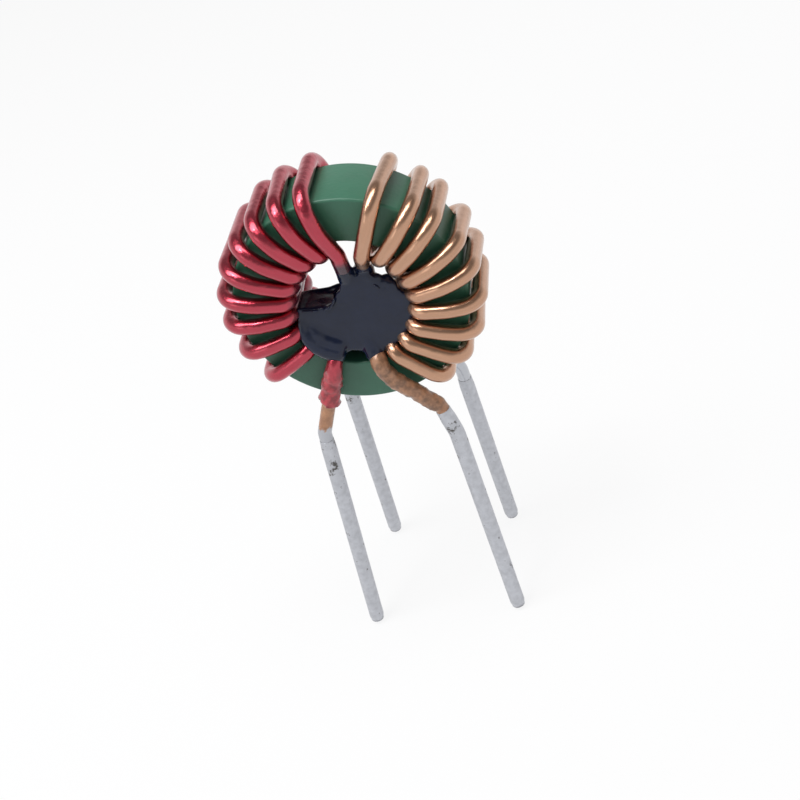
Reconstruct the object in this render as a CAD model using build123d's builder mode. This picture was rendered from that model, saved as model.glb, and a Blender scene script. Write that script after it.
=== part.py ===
"""A toroidal common-mode inductor standing on its four leads.

A ferrite ring under a green epoxy coat stands on edge. Two windings of stiff enamelled wire, one red and one
copper-coloured, mirror each other on its left and right halves. From the rear lead each wire crosses the hole
to its first turn at the top, winds down its half of the ring, and leaves at the front after the ninth turn.
The lead ends are stripped and tinned, and a plug of black adhesive in the hole holds the crossing wires.

Millimetres, +Z up, +Y away from the front. The origin lies under the middle of the ring, on the plane of the
lead tips. Clock angles are degrees clockwise from the top of the ring, seen from the front.
"""
import os
from math import cos, pi, radians, sin, sqrt

from build123d import *

# Ring
AXIS_HEIGHT = 33.0  # the ring's axis above the lead tips
RING_OUTER = 9.0  # radius over the coat
RING_INNER = 5.5
RING_WIDTH = 5.5
COAT = 0.3
COAT_BEVEL = 0.35

# Wire: where it is wound, its round section and its bends are drawn as flats of the same area
WIRE = 0.62  # radius over the enamel
BARE = 0.575
FLATS = 10
SWOLLEN = 0.86  # blistered enamel on the red front lead
WRINKLED = 0.74  # wrinkled enamel on the copper-coloured front lead

# The wire's centreline round the ring's section
HOLE_R = RING_INNER - 0.67
FACE_Y = RING_WIDTH / 2 + 0.67
LEAD_Y = RING_WIDTH / 2 + 0.97
RIM_R = RING_OUTER + 0.74
RIM_Y = RING_WIDTH / 2 + 0.87
RIM_BEND = 1.45
HOLE_BEND = 1.0
LEAD_BEND = 2.0

# Hand-wound places of the nine turns, as clock angles: front of the hole, front of the rim, back of the rim
RED_TURNS = [(5, -5, -5), (-10.5, -17.5, -20), (-26, -31, -32), (-41.5, -44, -47), (-57, -59, -60),
             (-72.5, -76, -77), (-89, -90.5, -90), (-108, -106.5, -105.5), (-127, -123, -123)]
COPPER_TURNS = [(26, 25.5, 31), (41.5, 41, 44), (57, 52, 54), (72.5, 66, 70), (88, 80, 84), (104, 97.5, 98),
                (121, 115, 117.5), (138, 130.5, 130), (155, 146.5, 146)]
HOLE_SHIFT = 9.0  # how far a wire moves on round the ring while it crosses the hole

# Leads: the clock angles where they leave the hole
RED_REAR_EXIT, RED_FRONT_EXIT = -163, -151
COPPER_REAR_EXIT, COPPER_FRONT_EXIT = 180, 171
RED_STRIP = 4.8  # from its corner at the hole to where the red front lead is bare
REAR_STRIP = 1.2  # from the last bend of a rear lead to where it is bare
ROOT = 0.32  # how far inside its enamel a bare end starts
TIN = 0.67  # radius over the solder
TIN_BORE = BARE + 0.01
RED_TIN = 0.7  # from the red front lead's bend to its solder
COLLAR_TIN = 0.36  # from the end of the copper-coloured enamel to the solder
TIP_SOLDER = 0.3
TIP_BEVEL = 0.2
TIP_Z = 0.057  # the middle of a tip, so that the lower edge of a leaning lead meets the ground

# Adhesive: how far back each layer reaches, and its upper outline from left to right of the ring's axis
PLUG_FRONT = -3.1
PLUG_R = HOLE_R - WIRE - 0.08
PLUG_LEFT, PLUG_RIGHT = -83, -279
BODY_BACK, BODY_TOP = -0.3, [(-1.5, 0.4), (-0.9, 0.72), (0.9, 1.1), (1.9, 1.0), (2.6, 0.65)]
STEP_BACK, STEP_TOP = -1.2, [(-0.9, 0), (-0.6, 1.3), (0.75, 1.85), (1.95, 1.75), (2.6, 1.25), (2.8, 0)]
PEAK_BACK, PEAK_TOP = -2.2, [(-0.95, 0), (-0.75, 0.95), (-0.2, 1.9), (0.55, 2.6), (1.15, 2.45), (2.15, 2.5),
                             (2.75, 1.5), (2.95, 0.95), (3.35, 1.4), (3.85, 1.2), (3.95, 0)]
SEAT_FRONT, SEAT_R = -1.2, RING_INNER - 0.03
SEAT_LEFT, SEAT_RIGHT = -157, -185.5
PLUG_EDGE = 0.3
PLUG_CLEARANCE = 0.03
MOUND_R, MOUND_FRONT = 0.8, -3.8
RED_MOUND, COPPER_MOUND = -151, 174.5


def clock(radius, angle, y):
    """A point on a clock angle of the ring."""
    return Vector(radius * sin(radians(angle)), y, AXIS_HEIGHT + radius * cos(radians(angle)))


def hung(x, y, drop):
    """A point below the ring's axis."""
    return Vector(x, y, AXIS_HEIGHT - drop)


def along(start, end, distance):
    """The point at a distance from start towards end."""
    return start + (end - start).normalized() * distance


# Bends and tips of the leads, from the ring down
RED_REAR = [hung(-4.4, 3.6, 9.6), Vector(-5.65, 5.7, TIP_Z)]
RED_FRONT = [hung(-5.26, -LEAD_Y, 11.3), Vector(-6.4, -5.7, TIP_Z)]
COPPER_REAR = [hung(0.8, 3.6, 7.4), hung(4.7, 3.6, 10.6), hung(5.6, 3.75, 12.3), Vector(6.3, 5.7, TIP_Z)]
COPPER_FRONT = [hung(1.45, -LEAD_Y, 7.0), hung(4.6, -LEAD_Y, 10.4), hung(5.36, -3.8, 13.0),
                Vector(6.9, -5.7, TIP_Z)]


def turn(hole, front, back, following, way):
    """Corners of one turn with their bend radii: out along the front, over the rim, in along the back."""
    return [
        (clock(HOLE_R, hole, -FACE_Y), HOLE_BEND),
        (clock(RIM_R, front, -RIM_Y), RIM_BEND),
        (clock(RIM_R, back, RIM_Y), RIM_BEND),
        (clock(HOLE_R, following - way * HOLE_SHIFT, FACE_Y), HOLE_BEND),
    ]


def bent(corners):
    """Points along a wire, where chords of an arc, about 25 degrees each, take the place of every corner."""
    points = [corners[0][0]]
    for (before, _), (corner, radius), (after, _) in zip(corners, corners[1:], corners[2:]):
        with BuildLine(mode=Mode.PRIVATE) as bend:
            FilletPolyline(before, corner, after, radius=radius)
        arc = bend.edges().filter_by(GeomType.CIRCLE)[0]
        chords = max(2, round(arc.length / radius / radians(25)))
        points += [arc @ (step / chords) for step in range(chords + 1)]
    return points + [corners[-1][0]]


def winding_points(turns, way, rear_exit, rear, front_exit, front):
    """The enamelled wire from the rear lead across the hole, round the nine turns and out at the front."""
    corners = [(along(rear[-2], rear[-1], REAR_STRIP), 0)]
    corners += [(bend, LEAD_BEND) for bend in reversed(rear[:-1])]
    corners += [(clock(HOLE_R, rear_exit, FACE_Y), LEAD_BEND)]
    followers = [places[0] for places in turns[1:]] + [front_exit]
    for places, following in zip(turns, followers):
        corners += turn(*places, following, way)
    corners += [(clock(HOLE_R, front_exit, -LEAD_Y), HOLE_BEND)]
    return bent(corners + front)


def lay_wire(points, radius, mode=Mode.ADD):
    """Runs the flat-sided wire through points."""
    corner_radius = radius * sqrt(2 * pi / (FLATS * sin(2 * pi / FLATS)))
    with BuildLine() as path:
        Polyline(*points)
    with BuildSketch(path.line ^ 0) as section:
        RegularPolygon(corner_radius, FLATS)
    sweep(section.sketch, path.line, transition=Transition.RIGHT, mode=mode)


def lay_rod(points, radius, mode=Mode.ADD):
    """Runs a round rod through points, mitred where it bends."""
    with BuildLine() as path:
        Polyline(*points)
    with BuildSketch(path.line ^ 0) as section:
        Circle(radius)
    sweep(section.sketch, path.line, transition=Transition.RIGHT, mode=mode)


def short_of_tip(points):
    """A lead's points with the last one drawn back by the solder on its tip."""
    return points[:-1] + [along(points[-1], points[-2], TIP_SOLDER)]


def add_ring(outer, inner, width):
    """A ring on the horizontal axis."""
    with BuildSketch(Plane(origin=(0, width / 2, AXIS_HEIGHT), x_dir=(1, 0, 0), z_dir=(0, -1, 0))) as section:
        Circle(outer)
        Circle(inner, mode=Mode.SUBTRACT)
    extrude(section.sketch, amount=width)


def build_core():
    """The ferrite ring inside the coat."""
    with BuildPart() as core:
        add_ring(RING_OUTER - COAT, RING_INNER + COAT, RING_WIDTH - 2 * COAT)
    core.part.label = "ferrite_core"
    return core.part


def build_coating(core):
    """The epoxy coat, a shell with bevelled edges that the core fills."""
    with BuildPart() as coating:
        add_ring(RING_OUTER, RING_INNER, RING_WIDTH)
        chamfer(coating.edges().filter_by(GeomType.CIRCLE), COAT_BEVEL)
        add(core, mode=Mode.SUBTRACT)
    coating.part.label = "core_coating"
    return coating.part


def build_red_winding():
    """The left winding, with blistered enamel and then a bare stretch on its front lead."""
    start = clock(HOLE_R, RED_FRONT_EXIT, -LEAD_Y)
    strip = along(start, RED_FRONT[0], RED_STRIP)
    points = winding_points(RED_TURNS, -1, RED_REAR_EXIT, RED_REAR, RED_FRONT_EXIT, [(strip, 0)])
    with BuildPart() as winding:
        lay_wire(points, WIRE)
        with BuildSketch(Plane(origin=start, x_dir=RED_FRONT[0] - start, z_dir=(0, 1, 0))):
            with BuildLine():
                Polyline((1.0, 0), (1.0, BARE), (2.2, SWOLLEN), (RED_STRIP - 0.2, SWOLLEN), (RED_STRIP, WIRE),
                         (RED_STRIP, 0), close=True)
            make_face()
        revolve(axis=Axis(start, RED_FRONT[0] - start))
        lay_rod([along(strip, start, ROOT)] + short_of_tip(RED_FRONT), BARE)
        lay_rod(short_of_tip([along(*RED_REAR, REAR_STRIP - ROOT), RED_REAR[-1]]), BARE)
    winding.part.label = "red_winding"
    return winding.part


def build_copper_winding():
    """The right winding, with wrinkled enamel on its front lead up to the solder."""
    start = clock(HOLE_R, COPPER_FRONT_EXIT, -LEAD_Y)
    drop, collar, knee, tip = COPPER_FRONT
    lead = [(drop, LEAD_BEND), (collar, 0)]
    points = winding_points(COPPER_TURNS, 1, COPPER_REAR_EXIT, COPPER_REAR, COPPER_FRONT_EXIT, lead)
    with BuildPart() as winding:
        lay_wire(points, WIRE)
        lay_wire(bent([(along(start, drop, 0.8), 0)] + lead), WRINKLED)
        lay_rod(short_of_tip([along(collar, knee, -ROOT), knee, tip]), BARE)
        lay_rod(short_of_tip([along(*COPPER_REAR[-2:], REAR_STRIP - ROOT), COPPER_REAR[-1]]), BARE)
    winding.part.label = "copper_winding"
    return winding.part


def build_tinning(name, points):
    """The solder over a stripped lead end, closed at its tip."""
    with BuildPart() as tinning:
        lay_rod(points, TIN)
        chamfer(tinning.faces().sort_by(Axis.Z)[0].edges(), TIP_BEVEL)
        lay_rod(short_of_tip(points), TIN_BORE, Mode.SUBTRACT)
    tinning.part.label = name
    return tinning.part


def at(radius, angle):
    """A point of the adhesive's outline on a clock angle."""
    return (radius * sin(radians(angle)), radius * cos(radians(angle)))


def add_layer(front, back, draw_outline):
    """A layer of the adhesive with the outline that draw_outline draws, seen from the front."""
    with BuildSketch(Plane(origin=(0, back, AXIS_HEIGHT), x_dir=(1, 0, 0), z_dir=(0, -1, 0))) as section:
        with BuildLine() as outline:
            draw_outline()
        make_face(outline.line.edges())
    extrude(section.sketch, amount=back - front)


def draw_arc(radius, start, end):
    """An arc between two clock angles."""
    ThreePointArc(at(radius, start), at(radius, (start + end) / 2), at(radius, end))


def draw_body():
    """The body's outline: round at the bottom, where the wires of the hole bound it, and open at the top."""
    draw_arc(PLUG_R, PLUG_LEFT, PLUG_RIGHT)
    Polyline(at(PLUG_R, PLUG_RIGHT), *reversed(BODY_TOP), at(PLUG_R, PLUG_LEFT))


def draw_seat():
    """The outline of the stretch that sits on the wall of the hole, between the lowest turns."""
    draw_arc(SEAT_R, SEAT_LEFT, SEAT_RIGHT)
    Polyline(at(SEAT_R, SEAT_RIGHT), at(PLUG_R / 2, SEAT_RIGHT), at(PLUG_R / 2, SEAT_LEFT),
             at(SEAT_R, SEAT_LEFT))


def build_plug():
    """The black adhesive: seated on the bottom of the hole, with a peak round the two crossing wires."""
    with BuildPart() as plug:
        add_layer(PLUG_FRONT, BODY_BACK, draw_body)
        add_layer(PLUG_FRONT, STEP_BACK, lambda: Polyline(*STEP_TOP, close=True))
        add_layer(PLUG_FRONT, PEAK_BACK, lambda: Polyline(*PEAK_TOP, close=True))
        chamfer(plug.faces().sort_by(Axis.Y)[0].edges(), PLUG_EDGE)
        add_layer(SEAT_FRONT, BODY_BACK, draw_seat)
        for angle in (RED_MOUND, COPPER_MOUND):
            with BuildSketch(Plane(origin=clock(HOLE_R - 0.3, angle, PLUG_FRONT + 1), z_dir=(0, -1, 0))):
                Circle(MOUND_R)
            extrude(amount=PLUG_FRONT + 1 - MOUND_FRONT)
        cut_for_wires()
    plug.part.label = "centre_adhesive"
    return plug.part


def cut_for_wires():
    """Clears the plug for the two crossing wires and the two front leads."""
    for turns, rear_exit in ((RED_TURNS, RED_REAR_EXIT), (COPPER_TURNS, COPPER_REAR_EXIT)):
        top, bottom = clock(HOLE_R, turns[0][0], -FACE_Y), clock(HOLE_R, rear_exit, FACE_Y)
        lay_rod([top, bottom], WIRE + PLUG_CLEARANCE, Mode.SUBTRACT)
    for way, exit_angle, front in ((-1, RED_FRONT_EXIT, RED_FRONT), (1, COPPER_FRONT_EXIT, COPPER_FRONT)):
        corners = [(clock(HOLE_R, exit_angle - way * HOLE_SHIFT, FACE_Y), 0),
                   (clock(HOLE_R, exit_angle, -LEAD_Y), HOLE_BEND), (front[0], 0)]
        lay_wire(bent(corners), WIRE + PLUG_CLEARANCE, Mode.SUBTRACT)


def main():
    core = build_core()
    parts = [core, build_coating(core), build_red_winding(), build_copper_winding(), build_plug()]
    _, collar, knee, tip = COPPER_FRONT
    parts += [
        build_tinning("red_front_tinning", [along(*RED_FRONT, RED_TIN), RED_FRONT[-1]]),
        build_tinning("red_rear_tinning", [along(*RED_REAR, REAR_STRIP), RED_REAR[-1]]),
        build_tinning("copper_rear_tinning", [along(*COPPER_REAR[-2:], REAR_STRIP), COPPER_REAR[-1]]),
        build_tinning("copper_front_tinning", [along(collar, knee, COLLAR_TIN), knee, tip]),
    ]
    os.makedirs("parts", exist_ok=True)
    for part in parts:
        export_step(part, f"parts/{part.label}.step")


main()
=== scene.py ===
"""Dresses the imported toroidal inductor: wound wire, coat, adhesive and tinned leads, on a pale floor.

Laid out as an add-on and run as a script. The part's lengths are millimetres in the frame of the model
(+Z up, +Y away from the front) until a mesh is scaled to metres; the stage is in metres. Clock angles are
degrees clockwise from the top of the ring, seen from the front.
"""

from math import cos, pi, radians, sin

import bmesh
import bpy
from mathutils import Matrix, Vector, noise
from mathutils.geometry import interpolate_bezier


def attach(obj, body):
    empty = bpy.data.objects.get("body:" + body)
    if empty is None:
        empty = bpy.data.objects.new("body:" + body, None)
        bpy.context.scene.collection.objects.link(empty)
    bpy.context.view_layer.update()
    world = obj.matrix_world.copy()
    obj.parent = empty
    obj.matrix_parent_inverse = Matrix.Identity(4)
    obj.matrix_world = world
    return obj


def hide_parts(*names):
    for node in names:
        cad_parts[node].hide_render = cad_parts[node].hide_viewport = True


bl_info = {
    "name": "Toroidal common-mode inductor",
    "version": (1, 0, 0),
    "blender": (4, 5, 0),
    "location": "View3D > Sidebar > Inductor",
    "description": "Builds the wound ring, its adhesive, its tinned leads and a stage round the packed model",
    "category": "Add Mesh",
}

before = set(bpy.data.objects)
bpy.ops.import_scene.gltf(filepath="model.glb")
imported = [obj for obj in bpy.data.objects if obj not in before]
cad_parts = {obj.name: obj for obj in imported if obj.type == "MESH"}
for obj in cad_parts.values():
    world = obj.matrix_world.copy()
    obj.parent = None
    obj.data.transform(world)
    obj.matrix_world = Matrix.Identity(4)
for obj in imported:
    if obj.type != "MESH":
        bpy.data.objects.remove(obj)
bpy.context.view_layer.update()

MM = 0.001
AXIS_HEIGHT = 33.0

# The wire's corners round the ring's section, and the radii of its bends: LEAD_BEND holds for the rear leads
# and the crossing wires, FRONT_BEND for the front leads
HOLE_R, FACE_Y, LEAD_Y = 4.83, 3.42, 3.72
RIM_R, RIM_Y = 9.74, 3.62
RIM_BEND, HOLE_BEND, LEAD_BEND, FRONT_BEND = 1.45, 1.0, 2.0, 0.8
BARE_R = 0.575

# The loosest turn: how far it bows off both faces of the ring, the radius of that bow, and how much wider its
# bends at the rim are
BOW, BOW_BEND, LOOSE_BEND = 0.6, 3.0, 0.55

# Clock angles of each turn: front of the hole, front of the rim, back of the rim
RED_TURNS = [(5, -5.8, -6.2), (-10.5, -18.2, -21.2), (-26, -31.6, -33), (-41.5, -44.5, -48), (-57, -59, -60),
             (-72.5, -74, -75), (-89, -88.5, -88.5), (-108, -105, -104.5), (-127, -122.5, -122.5)]
COPPER_TURNS = [(26, 25.2, 30), (41.5, 41.3, 45), (57, 52.5, 55.5), (72.5, 67, 72), (88, 81, 86),
                (104, 97.5, 99), (121, 113.5, 116), (138, 129, 129), (155, 143.5, 144)]

# How far each turn sags into the hole, and how many degrees it moves round on its way through the hole
RED_SAG = [0, 0, 0.1, 0.25, 0.3, 0.3, 0.2, 0, 0]
COPPER_SAG = [0] * 9
HOLE_SHIFT = 9.0

# Clock angles at which the leads leave the hole
RED_REAR_EXIT, RED_FRONT_EXIT = -163, -151
COPPER_REAR_EXIT, COPPER_FRONT_EXIT = 180, 171

# Distances down a lead: to the end of the red wire's front enamel, to the rear sleeves of solder, and to the
# front sleeves of the red and the copper-coloured wire
RED_STRIP, REAR_STRIP = 4.3, 1.2
RED_TIN, COLLAR_TIN = 0.7, 0.36

# How far solder has wicked up past the last bend of the red front lead and of the copper-coloured rear lead
RED_WICKED, COPPER_WICKED = 0.65, 2.8

# How heat has marked each wire, how near the axis its colour turns darker, and how high the blisters of the
# second are, as a share
RED_MARKS = {"Raggedness": 2.0, "Heated length": 4.6, "Heat taper": 2.4, "Swelling": 0.15, "Flare": 0.16,
             "Blister size": 0.6, "Darkened radius": 4.6}
COPPER_MARKS = {"Raggedness": 0.2, "Heated length": 7.6, "Heat taper": 1.6, "Swelling": 0.06,
                "Blister size": 0.5, "Darkened radius": 4.1}
COPPER_BLISTERS = 0.6

# Adhesive: its front and the arc of its underside, then how far back each layer reaches and its upper outline
# as x and height from the axis
PLUG_FRONT, PLUG_R, PLUG_ARC = -3.1, 4.15, (-83, -279)
BODY_BACK, BODY_TOP = -0.3, [(-2.8, 0.2), (-1.5, 0.2), (-0.9, 0.6), (0.9, 1.1), (1.9, 1.0), (2.6, 0.65)]
STEP_BACK, STEP_TOP = -1.2, [(-0.9, 0), (-0.6, 1.3), (0.75, 1.9), (1.95, 1.8), (2.6, 1.3), (2.85, 0)]
PEAK_BACK, PEAK_TOP = -2.1, [(-1.0, 0), (-0.75, 0.95), (-0.25, 1.9), (0.45, 2.75), (1.15, 2.6), (2.15, 2.65),
                             (2.8, 1.55), (2.95, 1.0), (3.35, 1.5), (3.9, 1.3), (4.05, 0)]

# The seat that the adhesive has on the wall of the hole
SEAT_FRONT, SEAT_R, SEAT_ARC = -1.2, 5.45, (-157, -185)

# Lower edge of the adhesive's front: how far back it reaches, and its clock angles and radii
EDGE_BACK = -0.8
FRONT_EDGE = [(-82, 4.1), (-98, 4.35), (-112, 4.8), (-128, 4.9), (-142, 4.95), (-152, 4.9), (-160, 4.4),
              (-168, 4.05), (-176, 4.2), (-185, 4.7), (-200, 4.75), (-240, 4.75), (-279, 4.6)]

# The lip over the lowest red turns: angle, radius, y and thickness, and how far in and back its inner row is
LIP = [(-100, 4.2, -2.95, 0.3), (-110, 4.45, -3.2, 0.45), (-120, 4.5, -3.35, 0.55), (-129, 4.55, -3.4, 0.6),
       (-139, 4.5, -3.3, 0.68), (-147, 4.5, -3.2, 0.75), (-151, 4.5, -3.2, 0.72)]
LIP_INWARDS, LIP_BACKWARDS = 0.65, 0.35

# Front and back edge of the recess on the left: y, thickness, and places as x and height from the axis
RAILS = [(PLUG_FRONT + 0.22, 0.22, [(-3.85, 0.2), (-3.2, 0.12), (-2.4, 0.05), (-1.6, 0.1), (-1.0, 0.5),
                                    (-0.6, 1.2)]),
         (BODY_BACK - 0.3, 0.28, [(-3.9, 0.25), (-2.8, 0.3), (-1.9, 0.28), (-1.1, 0.45)])]

# Lumps on the right of the peak: x, y, height from the axis and half width, and how flat they are
LUMPS = [(2.5, -2.65, 1.95, 0.45), (2.95, -2.7, 1.5, 0.45), (3.45, -2.7, 1.25, 0.5), (2.0, -2.9, 2.2, 0.35),
         (3.2, -2.4, 1.6, 0.45)]
LUMP_FLATNESS = 0.8

# Adhesive drawn up the crossing wires: distance down the wire and thickness
RED_SLEEVE = [(1.6, 0.64), (2.5, 0.7), (3.0, 0.7)]
COPPER_SLEEVE = [(1.2, 0.64), (2.1, 0.75), (3.0, 0.75)]

# Adhesive over the front leads where they leave the hole: angle, and stations of radius, y and thickness
EXIT_COVERS = [(RED_FRONT_EXIT, [(3.6, -2.35, 0.85), (4.3, -2.65, 0.85), (4.75, -3.1, 0.74)]),
               (COPPER_FRONT_EXIT + 1, [(3.6, -2.35, 0.85), (4.3, -2.65, 0.85), (4.6, -2.95, 0.74)])]

# Drips on the adhesive's skin: place, half length and turn of each, then half depth and half height of all
DRIPS = [(-3.35, -3.06, 0.28, 0.45, 8), (-2.75, -3.1, 0.2, 0.3, 0), (-1.75, -3.1, 0.24, 0.35, -12),
         (-1.35, -3.1, 0.42, 0.3, -50), (2.45, -3.1, 1.45, 0.3, 50), (-1.1, -3.1, 0.75, 0.3, -60)]
DRIP_DEEP, DRIP_TALL = 0.16, 0.12

# Solder: its length below the wire's tip, the height of a lead's end, and the radius of a sleeve's bore
TIP_SOLDER, TIP_Z, TIN_BORE = 0.3, 0.057, 0.585

# A sleeve's start as distances and radii, and its tip as distances from the end and shares of the radius
TIN_START = [(0.02, 0.6), (0.35, 0.62)]
TIN_TIP = [(0.75, 1.0), (0.48, 0.9), (0.26, 0.72), (0.1, 0.48), (0.0, 0.22)]
TIN_SIDES, TIN_STEP, BORE_STEPS = 28, 0.25, 48
TIN_UNEVENNESS = 0.009

# Lamps: place and size in metres, and share of the lamp power
LAMPS = {"key": ((-0.07, -0.03, 0.32), (0.12, 0.4), 1.2),
         "sparkle": ((-0.06, -0.08, 0.3), (0.04, 0.04), 0.2),
         "front_fill": ((-0.22, -0.24, 0.16), (0.12, 0.12), 0.06)}
LAMP_AIM = Vector((0, 0, 0.03))

# The floor's half width, and how much of it glows white to the camera and the metal
FLOOR_HALF = 0.6
PAPER_GLOW = 0.88
WHITE = (1, 1, 1, 1)


def linear(code):
    """A colour written as sRGB hex, as linear values."""
    parts = [int(code[i:i + 2], 16) / 255 for i in (1, 3, 5)]
    return [p / 12.92 if p <= 0.04045 else ((p + 0.055) / 1.055) ** 2.4 for p in parts]


def clock(radius, angle, y):
    """A point on a clock angle of the ring."""
    return Vector((radius * sin(radians(angle)), y, AXIS_HEIGHT + radius * cos(radians(angle))))


def hung(x, y, drop):
    """A point below the ring's axis."""
    return Vector((x, y, AXIS_HEIGHT - drop))


def along(start, end, distance):
    """The point at a distance from start towards end."""
    return start + (end - start).normalized() * distance


def span(points):
    """Length of a path."""
    return sum((end - start).length for start, end in zip(points, points[1:]))


# The leads, from their first bend under the ring to their tips, and the red wire's bend inside the adhesive
RED_REAR = [hung(-4.4, 3.6, 9.6), Vector((-5.65, 5.7, TIP_Z))]
RED_FRONT = [hung(-5.34, -LEAD_Y, 11.2), Vector((-6.4, -5.7, TIP_Z))]
COPPER_REAR = [hung(0.8, 3.6, 7.4), hung(4.7, 3.6, 10.6), hung(5.6, 3.75, 12.3), Vector((6.3, 5.7, TIP_Z))]
COPPER_FRONT = [hung(1.55, -LEAD_Y, 6.7), hung(4.7, -LEAD_Y, 10.15), hung(5.4, -3.8, 13.0),
                Vector((6.9, -5.7, TIP_Z))]
RED_CROSSING = hung(0.3, -2.5, -2.3)


# Settings

class InductorRing(bpy.types.PropertyGroup):
    """The coated ring."""
    outer: bpy.props.FloatProperty(name="Outer diameter", description="Ring diameter over the coat",
                                   default=18.0 * MM, unit="LENGTH")
    inner: bpy.props.FloatProperty(name="Hole diameter", description="Hole diameter inside the coat",
                                   default=11.0 * MM, unit="LENGTH")
    width: bpy.props.FloatProperty(name="Width", description="Ring width along its axis",
                                   default=5.5 * MM, unit="LENGTH")
    edge: bpy.props.FloatProperty(name="Edge radius", description="Rounding of the coat along its edges",
                                  default=0.22 * MM, unit="LENGTH")
    colour: bpy.props.FloatVectorProperty(name="Coat", description="Colour of the epoxy coat",
                                          subtype="COLOR", default=linear("#386D56"))


class InductorWinding(bpy.types.PropertyGroup):
    """The two windings."""
    radius: bpy.props.FloatProperty(name="Wire radius", description="Wire radius over its enamel",
                                    default=0.62 * MM, unit="LENGTH")
    red: bpy.props.FloatVectorProperty(name="Red enamel", description="Colour of the left winding",
                                       subtype="COLOR", default=linear("#B03A4A"))
    amber: bpy.props.FloatVectorProperty(name="Clear enamel", description="Colour of the right winding",
                                         subtype="COLOR", default=linear("#BE9276"))
    blister: bpy.props.FloatProperty(name="Blister height", description="How far heat raised the red enamel",
                                     default=0.26 * MM, unit="LENGTH")


class InductorAdhesive(bpy.types.PropertyGroup):
    """The adhesive in the hole."""
    colour: bpy.props.FloatVectorProperty(name="Adhesive", description="Colour of the cured adhesive",
                                          subtype="COLOR", default=linear("#141E36"))
    lumps: bpy.props.FloatProperty(name="Lump height", description="Unevenness of the adhesive's surface",
                                   default=0.025 * MM, unit="LENGTH")


class InductorLeads(bpy.types.PropertyGroup):
    """The solder on the four lead ends."""
    radius: bpy.props.FloatProperty(name="Solder radius", description="Lead radius over its solder",
                                    default=0.66 * MM, unit="LENGTH")
    colour: bpy.props.FloatVectorProperty(name="Solder", description="Colour of the dipped solder",
                                          subtype="COLOR", default=linear("#C0C2C8"))


class InductorStage(bpy.types.PropertyGroup):
    """The floor, the light and the camera."""
    floor: bpy.props.FloatVectorProperty(name="Floor", description="Colour of the floor",
                                         subtype="COLOR", default=linear("#E8E8EA"))
    lamp: bpy.props.FloatProperty(name="Lamp power", description="Watts that each lamp takes its share of",
                                  default=0.75)


# Tools

def feed(tree, node, inputs):
    """Sets each input of a node to a value, or links it from a socket."""
    for name, value in inputs.items():
        if isinstance(value, bpy.types.NodeSocket):
            tree.links.new(value, node.inputs[name])
        else:
            node.inputs[name].default_value = value


def add(tree, kind, inputs=(), **settings):
    """Adds a node with its settings and its inputs."""
    node = tree.nodes.new(kind)
    for name, value in settings.items():
        setattr(node, name, value)
    feed(tree, node, dict(inputs))
    return node


def shades(colour, dark, light):
    """A darker and a lighter shade of a colour, as a mix takes them."""
    return [(*[min(1, c * share) for c in colour], 1) for share in (dark, light)]


def start_material(name):
    """A new material with its tree, shader and object coordinates."""
    material = bpy.data.materials.new(name)
    material.use_nodes = True
    tree = material.node_tree
    place = add(tree, "ShaderNodeTexCoord").outputs["Object"]
    return material, tree, tree.nodes["Principled BSDF"], place


def start_geometry(name, sizes):
    """A new geometry tree with named inputs, and its group nodes."""
    tree = bpy.data.node_groups.new(name, "GeometryNodeTree")
    tree.interface.new_socket("Geometry", in_out="INPUT", socket_type="NodeSocketGeometry")
    for label in sizes:
        tree.interface.new_socket(label, in_out="INPUT", socket_type="NodeSocketFloat")
    tree.interface.new_socket("Material", in_out="INPUT", socket_type="NodeSocketMaterial")
    tree.interface.new_socket("Geometry", in_out="OUTPUT", socket_type="NodeSocketGeometry")
    return tree, tree.nodes.new("NodeGroupInput").outputs, tree.nodes.new("NodeGroupOutput")


def finish_geometry(tree, geometry, material, result):
    """Ends a geometry tree with a smooth, realized mesh in its material."""
    smooth = add(tree, "GeometryNodeSetShadeSmooth", {"Geometry": geometry}).outputs["Geometry"]
    real = add(tree, "GeometryNodeRealizeInstances", {"Geometry": smooth}).outputs["Geometry"]
    painted = add(tree, "GeometryNodeSetMaterial", {"Geometry": real, "Material": material})
    tree.links.new(painted.outputs["Geometry"], result.inputs["Geometry"])
    return tree


def settle(source, name):
    """Replaces an object by a plain one with the mesh that its modifiers make."""
    depsgraph = bpy.context.evaluated_depsgraph_get()
    mesh = bpy.data.meshes.new_from_object(source.evaluated_get(depsgraph), depsgraph=depsgraph)
    bpy.data.objects.remove(source)
    mesh.name = name
    piece = bpy.data.objects.new(name, mesh)
    bpy.context.collection.objects.link(piece)
    return piece


def grow(name, mesh, tree, values):
    """Runs a geometry tree on a mesh and keeps the result as a plain object."""
    source = bpy.data.objects.new(name + "_source", mesh)
    bpy.context.collection.objects.link(source)
    modifier = source.modifiers.new("Grow", "NODES")
    modifier.node_group = tree
    for item in tree.interface.items_tree:
        if item.in_out == "INPUT" and item.name in values:
            modifier[item.identifier] = values[item.name]
    return settle(source, name)


def hand_over(piece, node):
    """Rides the piece on the body, in place of its CAD node."""
    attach(piece, "root")
    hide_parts(node)


# Materials

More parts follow.
